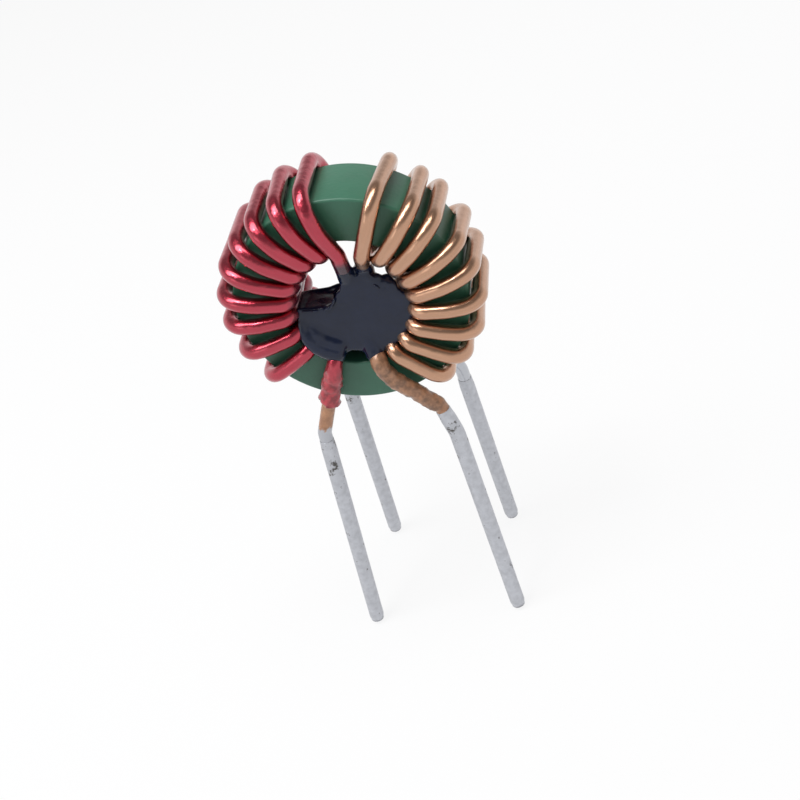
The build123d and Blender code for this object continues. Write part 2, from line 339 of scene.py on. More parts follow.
def make_coat_material(colour):
    """Powder epoxy, sprayed on and baked: satin, cloudy and slightly pebbled."""
    material, tree, shader, place = start_material("powder epoxy coat")
    dark, light = shades(colour, 0.82, 1.15)
    cloud = add(tree, "ShaderNodeTexNoise", {"Vector": place, "Scale": 1 / (2.2 * MM), "Detail": 4.0})
    shade = add(tree, "ShaderNodeMix", {"Factor": cloud.outputs["Fac"], 6: dark, 7: light}, data_type="RGBA")
    pebbles = add(tree, "ShaderNodeTexNoise", {"Vector": place, "Scale": 1 / (0.35 * MM), "Detail": 3.0})
    bump = add(tree, "ShaderNodeBump", {"Height": pebbles.outputs["Fac"], "Strength": 0.35,
                                        "Distance": 0.05 * MM})
    gloss = add(tree, "ShaderNodeMapRange", {"Value": cloud.outputs["Fac"], "To Min": 0.32, "To Max": 0.5})
    feed(tree, shader, {"Base Color": shade.outputs[2], "Normal": bump.outputs["Normal"],
                        "Roughness": gloss.outputs["Result"]})
    return material


def make_wire_material(name, colour, char, near_axis_colour, dents):
    """Enamelled copper: metal under a clear tinted film with drawing marks along it. Attributes on the wire say
    where it is enamelled, scorched by the soldering, tinned, and where, near the ring's axis, its colour turns
    darker and less metallic."""
    material, tree, shader, place = start_material(name)
    enamel, scorch, tin, near_axis = (add(tree, "ShaderNodeAttribute", attribute_name=part).outputs["Fac"]
                                  for part in ("enamel", "scorch", "tin", "near_axis"))
    run = add(tree, "ShaderNodeAttribute", attribute_name="wire_map").outputs["Vector"]
    marks = add(tree, "ShaderNodeTexNoise", {"Vector": run, "Scale": 1.0, "Detail": 2.0}).outputs["Fac"]
    blotch = add(tree, "ShaderNodeTexNoise", {"Vector": place, "Scale": 1 / (0.45 * MM),
                                              "Detail": 4.0}).outputs["Fac"]
    dark, light = shades(colour, 0.85, 1.12)
    tint = add(tree, "ShaderNodeMix", {"Factor": marks, 6: dark, 7: light}, data_type="RGBA")
    patchy = add(tree, "ShaderNodeMapRange", {"Value": blotch, "From Min": 0.36, "From Max": 0.64})
    dark, light = shades(char, 0.62, 1.3)
    burnt = add(tree, "ShaderNodeMix", {"Factor": patchy.outputs["Result"], 6: dark, 7: light},
                data_type="RGBA")
    film = add(tree, "ShaderNodeMix", {"Factor": scorch, 6: tint.outputs[2], 7: burnt.outputs[2]},
               data_type="RGBA")
    bare = add(tree, "ShaderNodeMix", {"Factor": blotch, 6: (*linear("#7A4A2E"), 1),
                                       7: (*linear("#D29A70"), 1)}, data_type="RGBA")
    wire = add(tree, "ShaderNodeMix", {"Factor": enamel, 6: bare.outputs[2], 7: film.outputs[2]},
               data_type="RGBA")
    tinned = add(tree, "ShaderNodeMix", {"Factor": tin, 6: wire.outputs[2], 7: (*linear("#B9BBC1"), 1)},
                 data_type="RGBA")
    # Within a radius of the ring's axis, on the wires' inner side in the hole, the colour turns darker and less
    # metallic
    surface = add(tree, "ShaderNodeMix", {"Factor": near_axis, 6: tinned.outputs[2], 7: (*near_axis_colour, 1)},
                  data_type="RGBA")
    marked = add(tree, "ShaderNodeMath", {0: scorch, 1: near_axis}, operation="MAXIMUM")
    dulling = add(tree, "ShaderNodeMath", {0: marked.outputs[0], 1: tin}, operation="SUBTRACT")
    dull = add(tree, "ShaderNodeMapRange", {"Value": dulling.outputs[0], "To Min": 0.95, "To Max": 0.15})
    rough = add(tree, "ShaderNodeMapRange", {"Value": scorch, "To Min": 0.27, "To Max": 0.55})
    waves = add(tree, "ShaderNodeTexNoise", {"Vector": place, "Scale": 1 / (0.6 * MM)})
    wavy = add(tree, "ShaderNodeBump", {"Height": waves.outputs["Fac"], "Strength": 0.5, "Distance": dents})
    bump = add(tree, "ShaderNodeBump", {"Height": marks, "Strength": 0.25, "Distance": 0.03 * MM,
                                        "Normal": wavy.outputs["Normal"]})
    feed(tree, shader, {"Base Color": surface.outputs[2], "Metallic": dull.outputs["Result"],
                        "Roughness": rough.outputs["Result"], "Normal": bump.outputs["Normal"],
                        "Coat Weight": 0.6, "Coat Roughness": 0.12})
    return material


def make_adhesive_material(colour):
    """Cured silicone adhesive: nearly black with a wet skin."""
    material, tree, shader, place = start_material("black silicone adhesive")
    dark, light = shades(colour, 0.7, 1.3)
    cloud = add(tree, "ShaderNodeTexNoise", {"Vector": place, "Scale": 1 / (1.6 * MM), "Detail": 3.0})
    shade = add(tree, "ShaderNodeMix", {"Factor": cloud.outputs["Fac"], 6: dark, 7: light}, data_type="RGBA")
    dimples = add(tree, "ShaderNodeTexNoise", {"Vector": place, "Scale": 1 / (0.7 * MM), "Detail": 2.0})
    bump = add(tree, "ShaderNodeBump", {"Height": dimples.outputs["Fac"], "Strength": 0.25,
                                        "Distance": 0.04 * MM})
    feed(tree, shader, {"Base Color": shade.outputs[2], "Normal": bump.outputs["Normal"],
                        "Roughness": 0.14, "IOR": 1.41})
    return material


def make_solder_material(colour):
    """Dipped solder: pale, slightly frosted metal with dark flux specks, more of them near the ring."""
    material, tree, shader, place = start_material("dipped solder")
    dark, light = shades(colour, 0.72, 1.25)
    frost = add(tree, "ShaderNodeTexNoise", {"Vector": place, "Scale": 1 / (0.5 * MM), "Detail": 4.0})
    shade = add(tree, "ShaderNodeMix", {"Factor": frost.outputs["Fac"], 6: dark, 7: light}, data_type="RGBA")
    specks = add(tree, "ShaderNodeTexNoise", {"Vector": place, "Scale": 1 / (1.0 * MM), "Detail": 5.0,
                                              "Roughness": 0.75})
    height = add(tree, "ShaderNodeSeparateXYZ", {"Vector": place}).outputs["Z"]
    near_ring = add(tree, "ShaderNodeMapRange", {"Value": height, "From Min": 14 * MM, "From Max": 21 * MM,
                                                 "To Max": 0.07})
    thick = add(tree, "ShaderNodeMath", {0: specks.outputs["Fac"], 1: near_ring.outputs["Result"]},
                operation="ADD")
    flux = add(tree, "ShaderNodeMapRange", {"Value": thick.outputs[0], "From Min": 0.62,
                                            "From Max": 0.68}).outputs["Result"]
    surface = add(tree, "ShaderNodeMix", {"Factor": flux, 6: shade.outputs[2],
                                          7: (*linear("#55524F"), 1)}, data_type="RGBA")
    dull = add(tree, "ShaderNodeMapRange", {"Value": flux, "To Min": 0.85, "To Max": 0.1})
    bump = add(tree, "ShaderNodeBump", {"Height": frost.outputs["Fac"], "Strength": 0.4,
                                        "Distance": 0.05 * MM})
    feed(tree, shader, {"Base Color": surface.outputs[2], "Metallic": dull.outputs["Result"],
                        "Normal": bump.outputs["Normal"], "Roughness": 0.42})
    return material


def make_ferrite_material():
    """Sintered ferrite: dark grey and matt, hidden under the coat."""
    material, tree, shader, place = start_material("sintered ferrite")
    grain = add(tree, "ShaderNodeTexNoise", {"Vector": place, "Scale": 1 / (0.3 * MM)})
    shade = add(tree, "ShaderNodeMix", {"Factor": grain.outputs["Fac"], 6: (*linear("#2C2C2F"), 1),
                                        7: (*linear("#3C3C40"), 1)}, data_type="RGBA")
    feed(tree, shader, {"Base Color": shade.outputs[2], "Roughness": 0.7})
    return material


# Coated ring

def ring_tree():
    """A rounded section carried round a circle, then stood on edge at its height."""
    tree, given, result = start_geometry("Coated ring", (
        "Mean radius", "Thickness", "Width", "Edge radius", "Height"))
    circle = add(tree, "GeometryNodeCurvePrimitiveCircle", {"Resolution": 256,
                                                            "Radius": given["Mean radius"]})
    section = add(tree, "GeometryNodeCurvePrimitiveQuadrilateral",
                  {"Width": given["Thickness"], "Height": given["Width"]})
    rounded = add(tree, "GeometryNodeFilletCurve", {"Curve": section.outputs["Curve"], "Count": 6,
                                                    "Radius": given["Edge radius"]}, mode="POLY")
    swept = add(tree, "GeometryNodeCurveToMesh", {"Curve": circle.outputs["Curve"],
                                                  "Profile Curve": rounded.outputs["Curve"]})
    height = add(tree, "ShaderNodeCombineXYZ", {"Z": given["Height"]})
    stood = add(tree, "GeometryNodeTransform", {"Geometry": swept.outputs["Mesh"],
                                                "Translation": height.outputs["Vector"],
                                                "Rotation": (pi / 2, 0, 0)})
    return finish_geometry(tree, stood.outputs["Geometry"], given["Material"], result)


def face_outwards(mesh):
    """Turns all faces of a closed mesh outwards."""
    body = bmesh.new()
    body.from_mesh(mesh)
    bmesh.ops.recalc_face_normals(body, faces=body.faces)
    body.to_mesh(mesh)
    body.free()


class BuildRing(bpy.types.Operator):
    """Builds the epoxy coat of the ring, with its edges rounded"""
    bl_idname = "inductor.build_ring"
    bl_label = "Coated ring"

    def execute(self, context):
        ring = context.scene.inductor_ring
        piece = grow("epoxy_coat", bpy.data.meshes.new("coat_seed"), ring_tree(), {
            "Mean radius": (ring.outer + ring.inner) / 4,
            "Thickness": (ring.outer - ring.inner) / 2,
            "Width": ring.width,
            "Edge radius": ring.edge,
            "Height": AXIS_HEIGHT * MM,
            "Material": make_coat_material(ring.colour)})
        face_outwards(piece.data)
        hand_over(piece, "core_coating")
        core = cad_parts["ferrite_core"]
        core.data.materials.clear()
        core.data.materials.append(make_ferrite_material())
        return {"FINISHED"}


# Windings

def turn(hole, front, back, following, way, sag):
    """Corners of one turn with their bend radii: out along the front, over the rim, in along the back. The
    higher the turn, the looser it lies, and it may sag a little into the hole."""
    near, far = clock(HOLE_R - sag, hole, -FACE_Y), clock(RIM_R, front, -RIM_Y)
    back_far, back_near = clock(RIM_R, back, RIM_Y), clock(HOLE_R, following - way * HOLE_SHIFT, FACE_Y)
    loose = (1 + cos(radians(front))) / 2
    bow = Vector((0, BOW * loose, 0))
    rim_bend = RIM_BEND + LOOSE_BEND * loose
    return [
        (near, HOLE_BEND),
        ((near + far) / 2 - bow, BOW_BEND),
        (far, rim_bend),
        (back_far, rim_bend),
        ((back_near + back_far) / 2 + bow, BOW_BEND),
        (back_near, HOLE_BEND),
    ]


def winding_corners(turns, sags, way, rear_exit, rear, front_exit, front, crossing=()):
    """One wire from its rear tip across the hole, round its nine turns and down to its front tip."""
    rear_tip = along(rear[-1], rear[-2], TIP_SOLDER)
    front_tip = along(front[-1], front[-2], TIP_SOLDER)
    corners = [(rear_tip, 0)] + [(bend, LEAD_BEND) for bend in reversed(rear[:-1])]
    corners += [(clock(HOLE_R, rear_exit, FACE_Y), LEAD_BEND), *crossing]
    followers = [places[0] for places in turns[1:]] + [front_exit]
    for places, following, sag in zip(turns, followers, sags):
        corners += turn(*places, following, way, sag)
    corners += [(clock(HOLE_R, front_exit, -LEAD_Y), HOLE_BEND)]
    return corners + [(bend, FRONT_BEND) for bend in front[:-1]] + [(front_tip, 0)]


def path_mesh(corners):
    """The corners as a chain of edges, with the bend radius of each stored on it."""
    mesh = bpy.data.meshes.new("wire_path")
    points = [point * MM for point, _ in corners]
    mesh.from_pydata(points, [(i, i + 1) for i in range(len(points) - 1)], [])
    bends = mesh.attributes.new("bend", "FLOAT", "POINT")
    bends.data.foreach_set("value", [radius * MM for _, radius in corners])
    return mesh


def wire_tree():
    """A round wire bent through a chain of corners, bare at both ends, its front enamel raised by heat."""
    tree, given, result = start_geometry("Enamelled wire", (
        "Wire radius", "Enamel thickness", "Rear bare length", "Front bare length", "Raggedness",
        "Heated length", "Heat taper", "Swelling", "Flare", "Blister size", "Blister height",
        "Axis height", "Darkened radius", "Rear tinned length", "Front tinned length", "Seed"))
    math, store = "ShaderNodeMath", "GeometryNodeStoreNamedAttribute"
    bend, run, reach, turned = (
        add(tree, "GeometryNodeInputNamedAttribute", {"Name": name}).outputs["Attribute"]
        for name in ("bend", "run", "reach", "round"))

    # The path, with the distance to each end kept on its points
    chain = add(tree, "GeometryNodeMeshToCurve", {"Mesh": given["Geometry"]}).outputs["Curve"]
    bent = add(tree, "GeometryNodeFilletCurve", {"Curve": chain, "Count": 10, "Radius": bend,
                                                 "Limit Radius": True}, mode="POLY").outputs["Curve"]
    path = add(tree, "GeometryNodeResampleCurve", {"Curve": bent, "Length": 0.18 * MM},
               mode="LENGTH").outputs["Curve"]
    passed = add(tree, "GeometryNodeSplineParameter").outputs["Length"]
    whole = add(tree, "GeometryNodeSplineLength").outputs["Length"]
    left = add(tree, math, {0: whole, 1: passed}, operation="SUBTRACT").outputs[0]
    for name, value in (("run", passed), ("reach", left)):
        path = add(tree, store, {"Geometry": path, "Name": name, "Value": value},
                   data_type="FLOAT").outputs["Geometry"]

    # The round section, with the place round it kept for the drawing marks
    section = add(tree, "GeometryNodeCurvePrimitiveCircle", {"Resolution": 24,
                                                             "Radius": given["Wire radius"]})
    share = add(tree, "GeometryNodeSplineParameter").outputs["Factor"]
    section = add(tree, store, {"Geometry": section.outputs["Curve"], "Name": "round", "Value": share},
                  data_type="FLOAT").outputs["Geometry"]
    wire = add(tree, "GeometryNodeCurveToMesh", {"Curve": path, "Profile Curve": section,
                                                 "Fill Caps": True}).outputs["Mesh"]

    # Noise of this wire's own, less its mean: one for ragged ends of the enamel, one for its blisters
    spot = add(tree, "GeometryNodeInputPosition").outputs["Position"]
    fineness = add(tree, math, {0: 1.0, 1: given["Blister size"]}, operation="DIVIDE").outputs[0]
    noises = []
    for scale, strength in ((1 / (0.6 * MM), given["Raggedness"]), (fineness, given["Blister height"])):
        own = add(tree, "ShaderNodeTexNoise", {"Vector": spot, "W": given["Seed"], "Scale": scale,
                                               "Detail": 2.0}, noise_dimensions="4D").outputs["Fac"]
        own = add(tree, math, {0: own, 1: 0.5}, operation="SUBTRACT").outputs[0]
        noises.append(add(tree, math, {0: own, 1: strength}, operation="MULTIPLY").outputs[0])
    ragged, lumps = noises

    # How far each place is from the ring's axis, with an uneven edge for where the wire's colour turns darker
    edge = 0.8 * MM
    axis = add(tree, "ShaderNodeCombineXYZ", {"Z": given["Axis height"]}).outputs["Vector"]
    away = add(tree, "ShaderNodeVectorMath", {0: spot, 1: axis}, operation="SUBTRACT").outputs["Vector"]
    flat = add(tree, "ShaderNodeVectorMath", {0: away, 1: (1, 0, 1)}, operation="MULTIPLY").outputs["Vector"]
    distance = add(tree, "ShaderNodeVectorMath", {0: flat}, operation="LENGTH").outputs["Value"]
    cloud = add(tree, "ShaderNodeTexNoise", {"Vector": spot, "Scale": 1 / (0.9 * MM)}).outputs["Fac"]
    cloud = add(tree, math, {0: cloud, 1: 0.5}, operation="SUBTRACT").outputs[0]
    uneven = add(tree, math, {0: cloud, 1: edge}, operation="MULTIPLY").outputs[0]
    distance = add(tree, math, {0: distance, 1: uneven}, operation="ADD").outputs[0]
    darker_until = add(tree, math, {0: given["Darkened radius"], 1: edge}, operation="SUBTRACT").outputs[0]

    # Where the enamel, the scorching, the solder that has wicked up and the flared end of the enamel stop: each
    # eases from 0 to 1 from its start over its width
    front_bare = given["Front bare length"]
    reach = add(tree, math, {0: reach, 1: ragged}, operation="ADD").outputs[0]
    ragged_run = add(tree, math, {0: run, 1: ragged}, operation="ADD").outputs[0]
    hot_until = add(tree, math, {0: front_bare, 1: given["Heated length"]}, operation="ADD").outputs[0]
    cooling = add(tree, math, {0: hot_until, 1: given["Heat taper"]}, operation="SUBTRACT").outputs[0]
    slim_from = add(tree, math, {0: front_bare, 1: 0.3 * MM}, operation="ADD").outputs[0]
    eased = []
    for value, start, width in ((reach, front_bare, 0.2 * MM), (run, given["Rear bare length"], 0.1 * MM),
                                (reach, cooling, given["Heat taper"]), (distance, darker_until, edge),
                                (ragged_run, given["Rear tinned length"], 0.1 * MM),
                                (reach, given["Front tinned length"], 0.1 * MM),
                                (reach, slim_from, 0.8 * MM)):
        end = add(tree, math, {0: start, 1: width}, operation="ADD").outputs[0]
        eased.append(add(tree, "ShaderNodeMapRange", {"Value": value, "From Min": start, "From Max": end},
                         interpolation_type="SMOOTHSTEP").outputs["Result"])
    front_end, rear_end, cold, beyond_darkening, rear_dry, front_dry, slim = eased
    enamel = add(tree, math, {0: front_end, 1: rear_end}, operation="MINIMUM").outputs[0]
    dry = add(tree, math, {0: rear_dry, 1: front_dry}, operation="MINIMUM").outputs[0]
    heat, near_axis, tin, flare = (add(tree, math, {0: 1.0, 1: free}, operation="SUBTRACT").outputs[0]
                               for free in (cold, beyond_darkening, dry, slim))

    # Marks run along the wire: fine round it, long down it
    angle = add(tree, math, {0: turned, 1: 2 * pi}, operation="MULTIPLY").outputs[0]
    across, up = (add(tree, math, {0: angle}, operation=name).outputs[0] for name in ("COSINE", "SINE"))
    across, up, down = (add(tree, math, {0: value, 1: scale}, operation="MULTIPLY").outputs[0]
                        for value, scale in ((across, 2.0), (up, 2.0), (run, 1 / (2.5 * MM))))
    marks = add(tree, "ShaderNodeCombineXYZ", {"X": across, "Y": up, "Z": down}).outputs["Vector"]
    for name, value, kind in (("enamel", enamel, "FLOAT"), ("scorch", heat, "FLOAT"),
                              ("near_axis", near_axis, "FLOAT"), ("tin", tin, "FLOAT"),
                              ("wire_map", marks, "FLOAT_VECTOR")):
        wire = add(tree, store, {"Geometry": wire, "Name": name, "Value": value},
                   data_type=kind).outputs["Geometry"]

    # Heat has swollen the enamel, flared its end and blistered it. The noise strays little from its mean, so
    # it is tripled. Bare wire is thinner by its enamel.
    flare = add(tree, math, {0: flare, 1: given["Flare"]}, operation="MULTIPLY").outputs[0]
    swollen = add(tree, math, {0: given["Swelling"], 1: flare}, operation="ADD").outputs[0]
    lumps = add(tree, math, {0: lumps, 1: 3.0}, operation="MULTIPLY").outputs[0]
    swollen = add(tree, math, {0: swollen, 1: lumps}, operation="ADD").outputs[0]
    hot = add(tree, math, {0: heat, 1: front_end}, operation="MULTIPLY").outputs[0]
    raised = add(tree, math, {0: hot, 1: swollen}, operation="MULTIPLY").outputs[0]
    bare = add(tree, math, {0: enamel, 1: 1.0}, operation="SUBTRACT").outputs[0]
    stripped = add(tree, math, {0: bare, 1: given["Enamel thickness"]}, operation="MULTIPLY").outputs[0]
    push = add(tree, math, {0: raised, 1: stripped}, operation="ADD").outputs[0]
    outwards = add(tree, "GeometryNodeInputNormal").outputs["Normal"]
    offset = add(tree, "ShaderNodeVectorMath", {0: outwards, "Scale": push},
                 operation="SCALE").outputs["Vector"]
    shaped = add(tree, "GeometryNodeSetPosition", {"Geometry": wire, "Offset": offset}).outputs["Geometry"]
    return finish_geometry(tree, shaped, given["Material"], result)


class BuildWindings(bpy.types.Operator):
    """Winds the red and the copper-coloured wire, with their heated front leads and bare ends"""
    bl_idname = "inductor.build_windings"
    bl_label = "Windings"

    def execute(self, context):
        winding = context.scene.inductor_winding
        tree = wire_tree()
        shared = {"Wire radius": winding.radius, "Enamel thickness": winding.radius - BARE_R * MM,
                  "Axis height": AXIS_HEIGHT * MM}

        strip = along(clock(HOLE_R, RED_FRONT_EXIT, -LEAD_Y), RED_FRONT[0], RED_STRIP)
        lengths = {"Rear bare length": span(RED_REAR) - REAR_STRIP - TIP_SOLDER,
                   "Front bare length": span([strip, *RED_FRONT]) - TIP_SOLDER,
                   "Front tinned length": span(RED_FRONT) - TIP_SOLDER + RED_WICKED, **RED_MARKS}
        corners = winding_corners(RED_TURNS, RED_SAG, -1, RED_REAR_EXIT, RED_REAR, RED_FRONT_EXIT, RED_FRONT,
                                  [(RED_CROSSING, LEAD_BEND)])
        red = grow("red_enamelled_wire", path_mesh(corners), tree, {
            **shared, **{name: length * MM for name, length in lengths.items()},
            "Blister height": winding.blister,
            "Seed": 3.0,
            "Material": make_wire_material("red enamelled copper", winding.red, char=linear("#AA3640"),
                                           near_axis_colour=linear("#40182C"), dents=0.1 * MM)})
        hand_over(red, "red_winding")

        tinned = span(COPPER_REAR[2:]) - TIP_SOLDER + COPPER_WICKED
        lengths = {"Rear bare length": tinned, "Rear tinned length": tinned,
                   "Front bare length": span(COPPER_FRONT[1:]) - TIP_SOLDER, **COPPER_MARKS}
        corners = winding_corners(COPPER_TURNS, COPPER_SAG, 1, COPPER_REAR_EXIT, COPPER_REAR,
                                  COPPER_FRONT_EXIT, COPPER_FRONT)
        copper = grow("copper_enamelled_wire", path_mesh(corners), tree, {
            **shared, **{name: length * MM for name, length in lengths.items()},
            "Blister height": winding.blister * COPPER_BLISTERS,
            "Seed": 8.0,
            "Material": make_wire_material("clear enamelled copper", winding.amber, char=linear("#9E7254"),
                                           near_axis_colour=linear("#4A3628"), dents=0.05 * MM)})
        hand_over(copper, "copper_winding")
        return {"FINISHED"}


# Adhesive

def slab(body, outline, front, back):
    """Adds a closed slab with this outline, seen from the front, between two depths."""
    front_side, back_side = ([body.verts.new((x, y, AXIS_HEIGHT + z)) for x, z in outline]
                             for y in (front, back))
    body.faces.new(front_side)
    body.faces.new(reversed(back_side))
    for i in range(len(outline)):
        j = (i + 1) % len(outline)
        body.faces.new((front_side[j], front_side[i], back_side[i], back_side[j]))


def rod(body, start, end, start_radius, end_radius):
    """Adds a closed round rod that may taper."""
    run = end - start
    place = Matrix.Translation((start + end) / 2) @ run.to_track_quat("Z", "Y").to_matrix().to_4x4()
    bmesh.ops.create_cone(body, cap_ends=True, segments=32, radius1=start_radius, radius2=end_radius,
                          depth=run.length, matrix=place)


def lump(body, centre, across, deep, tall):
    """Adds a ball stretched to these half sizes along X, Y and Z."""
    stretch = Matrix.Diagonal((across, deep, tall, 1))
    bmesh.ops.create_icosphere(body, subdivisions=4, radius=1, matrix=Matrix.Translation(centre) @ stretch)


def trail(body, stations):
    """Adds a rounded rod through stations, each a point and a radius."""
    for (start, start_radius), (end, end_radius) in zip(stations, stations[1:]):
        rod(body, start, end, start_radius, end_radius)
    for point, radius in stations:
        lump(body, point, radius, radius, radius)


def arc(radius, start, end, count=40):
    """Points of an arc between two clock angles, as x and height from the ring's axis."""
    angles = [radians(start + (end - start) * i / count) for i in range(count + 1)]
    return [(radius * sin(a), radius * cos(a)) for a in angles]


def eased_edge(stations, steps=10):
    """An edge that eases from each clock angle and radius to the next, as x and height from the axis."""
    edge = []
    for (start, near), (end, far) in zip(stations, stations[1:]):
        for i in range(steps):
            share = i / steps
            angle = radians(start + (end - start) * share)
            radius = near + (far - near) * share * share * (3 - 2 * share)
            edge.append((radius * sin(angle), radius * cos(angle)))
    return edge


def cover_wires(body):
    """Covers the two crossing wires and the bends where the front leads leave the hole."""
    red_top, copper_top = (clock(HOLE_R, turns[0][0], -FACE_Y) for turns in (RED_TURNS, COPPER_TURNS))
    copper_bottom = clock(HOLE_R, COPPER_REAR_EXIT, FACE_Y)
    for top, bottom, sleeve in ((red_top, RED_CROSSING, RED_SLEEVE),
                                (copper_top, copper_bottom, COPPER_SLEEVE)):
        trail(body, [(along(top, bottom, distance), thick) for distance, thick in sleeve])
    for angle, stations in EXIT_COVERS:
        trail(body, [(clock(radius, angle, y), thick) for radius, y, thick in stations])


def add_drips(mesh):
    """Adds the small drips that catch the light, sunk into the skin."""
    body = bmesh.new()
    body.from_mesh(mesh)
    for x, y, z, size, turned in DRIPS:
        place = Matrix.Translation(Vector((x, y, AXIS_HEIGHT + z)) * MM)
        stretch = Matrix.Diagonal((size * MM, DRIP_DEEP * MM, DRIP_TALL * MM, 1))
        drip = place @ Matrix.Rotation(radians(turned), 4, "Y") @ stretch
        bmesh.ops.create_icosphere(body, subdivisions=3, radius=1, matrix=drip)
    for face in body.faces:
        face.smooth = True
    body.to_mesh(mesh)
    body.free()


def flow_together(mesh, lumps):
    """Melts the overlapping shapes of a mesh into one smooth, slightly lumpy piece in metres."""
    source = bpy.data.objects.new("adhesive_source", mesh)
    bpy.context.collection.objects.link(source)
    remesh = source.modifiers.new("Melt", "REMESH")
    remesh.mode, remesh.voxel_size = "VOXEL", 0.08
    relax = source.modifiers.new("Relax", "SMOOTH")
    relax.factor, relax.iterations = 0.5, 24
    piece = settle(source, "silicone_adhesive")
    body = bmesh.new()
    body.from_mesh(piece.data)
    body.normal_update()
    for vert in body.verts:
        wide, fine = noise.noise(vert.co * 0.9), noise.noise(vert.co * 2.2)
        vert.co += vert.normal * lumps * (wide + 0.5 * fine)
    bmesh.ops.scale(body, vec=(MM, MM, MM), verts=body.verts)
    for face in body.faces:
        face.smooth = True
    body.to_mesh(piece.data)
    body.free()
    return piece


class BuildAdhesive(bpy.types.Operator):
    """Pours the adhesive into the hole, round the crossing wires and the two front leads"""
    bl_idname = "inductor.build_adhesive"
    bl_label = "Adhesive"

    def execute(self, context):
        adhesive = context.scene.inductor_adhesive
        body = bmesh.new()
        slab(body, arc(PLUG_R, *PLUG_ARC) + BODY_TOP[::-1], PLUG_FRONT, BODY_BACK)
        slab(body, STEP_TOP, PLUG_FRONT, STEP_BACK)
        slab(body, PEAK_TOP, PLUG_FRONT, PEAK_BACK)
        slab(body, arc(SEAT_R, *SEAT_ARC) + [(0, 0)], SEAT_FRONT, BODY_BACK)
        slab(body, eased_edge(FRONT_EDGE) + [(0, 0)], PLUG_FRONT, EDGE_BACK)
        cover_wires(body)
        for inwards, backwards in ((0, 0), (LIP_INWARDS, LIP_BACKWARDS)):
            trail(body, [(clock(radius - inwards, angle, y + backwards), thick)
                         for angle, radius, y, thick in LIP])
        for y, thick, places in RAILS:
            trail(body, [(Vector((x, y, AXIS_HEIGHT + z)), thick) for x, z in places])
        for x, y, z, size in LUMPS:
            flat = size * LUMP_FLATNESS
            lump(body, Vector((x, y, AXIS_HEIGHT + z)), size, flat, flat)
        bmesh.ops.recalc_face_normals(body, faces=body.faces)
        mesh = bpy.data.meshes.new("adhesive_seed")
        body.to_mesh(mesh)
        body.free()
        piece = flow_together(mesh, adhesive.lumps / MM)
        add_drips(piece.data)
        piece.data.materials.append(make_adhesive_material(adhesive.colour))
        hand_over(piece, "centre_adhesive")
        return {"FINISHED"}


# Tinned leads

def lead_rows(length, radius):
    """Distance and radius down a tinned lead: up its bore, out over the feathered start, down to the tip."""
    bore = length - TIP_SOLDER
    inside = [(bore * i / BORE_STEPS, TIN_BORE) for i in range(BORE_STEPS, -1, -1)]
    outside = [*TIN_START, (0.8, radius - 0.015)]
    outside += [(1.1 + TIN_STEP * i, radius) for i in range(int((length - 2.0) / TIN_STEP))]
    outside += [(length - back, radius * share) for back, share in TIN_TIP]
    return [(bore, 0.0)] + inside + outside + [(length, 0.0)]


def spot_on(path, distance):
    """The place and direction at a distance down a path."""
    for start, end in zip(path, path[1:]):
        step = (end - start).length
        if distance <= step or end is path[-1]:
            return along(start, end, distance), (end - start).normalized()
        distance -= step


def tin_mesh(name, path, radius, seed):
    """The solder on one lead: a sleeve closed at its tip, slightly uneven outside."""
    body = bmesh.new()
    rings = []
    for distance, reach in lead_rows(span(path), radius):
        centre, way = spot_on(path, distance)
        across = way.cross(Vector((0, 1, 0))).normalized()
        up = across.cross(way)
        if reach == 0:
            rings.append([body.verts.new(centre)])
            continue
        ring = []
        for i in range(TIN_SIDES):
            angle = 2 * pi * i / TIN_SIDES
            out = across * cos(angle) + up * sin(angle)
            uneven = 0.0
            if reach > TIN_BORE:
                place = (centre + out * 0.5) * 1.4 + Vector((seed, 0, 0))
                uneven = TIN_UNEVENNESS * noise.noise(place)
            ring.append(body.verts.new(centre + out * (reach + uneven)))
        rings.append(ring)
    for above, below in zip(rings, rings[1:]):
        for i in range(TIN_SIDES):
            j = (i + 1) % TIN_SIDES
            corners = (above[i % len(above)], above[j % len(above)],
                       below[j % len(below)], below[i % len(below)])
            body.faces.new(list(dict.fromkeys(corners))).smooth = True
    bmesh.ops.recalc_face_normals(body, faces=body.faces)
    bmesh.ops.scale(body, vec=(MM, MM, MM), verts=body.verts)
    mesh = bpy.data.meshes.new(name)
    body.to_mesh(mesh)
    body.free()
    return mesh


class BuildLeads(bpy.types.Operator):
    """Tins the four lead ends"""
    bl_idname = "inductor.build_leads"
    bl_label = "Tinned leads"

    def execute(self, context):
        leads = context.scene.inductor_leads
        material = make_solder_material(leads.colour)
        _, collar, knee, tip = COPPER_FRONT
        cut, pull = 0.4, 0.6
        into, out = along(knee, collar, cut), along(knee, tip, cut)
        knee_points = interpolate_bezier(into, into.lerp(knee, pull), out.lerp(knee, pull), out, 7)
        paths = {
            "red_front_tinning": [along(*RED_FRONT, RED_TIN), RED_FRONT[1]],
            "red_rear_tinning": [along(*RED_REAR, REAR_STRIP), RED_REAR[1]],
            "copper_rear_tinning": [along(*COPPER_REAR[2:], REAR_STRIP), COPPER_REAR[3]],
            "copper_front_tinning": [along(collar, knee, COLLAR_TIN), *knee_points, tip],
        }
        for seed, (node, path) in enumerate(paths.items()):
            name = node.replace("tinning", "solder")
            piece = bpy.data.objects.new(name, tin_mesh(name, path, leads.radius / MM, 7.0 * seed))
            context.collection.objects.link(piece)
            piece.data.materials.append(material)
            hand_over(piece, node)
        return {"FINISHED"}


# Stage

def background_share(tree):
    """1 for the rays that see the background: camera, glossy and transmission rays."""
    rays = add(tree, "ShaderNodeLightPath").outputs
    seen = add(tree, "ShaderNodeMath", {0: rays["Is Camera Ray"], 1: rays["Is Glossy Ray"]},
               operation="MAXIMUM")
    return add(tree, "ShaderNodeMath", {0: seen.outputs[0], 1: rays["Is Transmission Ray"]},
               operation="MAXIMUM").outputs[0]


